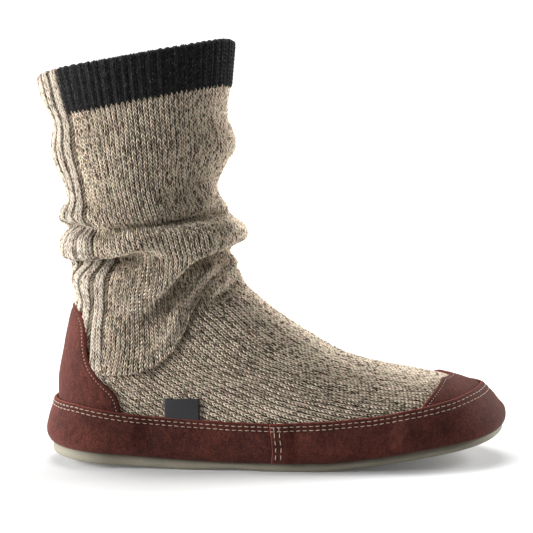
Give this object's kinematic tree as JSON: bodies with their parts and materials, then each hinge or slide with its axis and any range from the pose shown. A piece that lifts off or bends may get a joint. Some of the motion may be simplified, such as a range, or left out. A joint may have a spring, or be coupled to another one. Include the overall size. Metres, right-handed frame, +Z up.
{
  "type": "slipper sock",
  "caption": "Right-foot slipper sock: slouched knitted shaft with a ribbed cuff, knitted foot, suede foxing, heel counter and toe cap, and a thin moulded sole.",
  "frame": {"origin": "on the ground under the middle of the shoe's box", "axes": "+X from the heel to the toe, +Y to the inner side of the right foot, +Z up the leg"},
  "size_m": [0.2773, 0.1017, 0.2459],
  "materials": {
    "knit": "oatmeal and brown marled ragg wool, thick stocking stitch, ribbed at the back",
    "cuff": "charcoal wool rib knit",
    "suede": "reddish brown brushed suede with paler raw edges and cream stitching",
    "thread": "cream waxed sewing thread",
    "sole": "matt olive grey moulded rubber",
    "insole": "brushed felt footbed",
    "label": "dark grey woven tab, left blank"
  },
  "bodies": {
    "root": {"upper": "knit", "foxing_rear": "suede", "foxing_front": "suede", "heel_counter": "suede", "toe_cap": "suede", "outsole": "sole", "insole": "insole", "side_label": "label"}
  },
  "joints": []
}
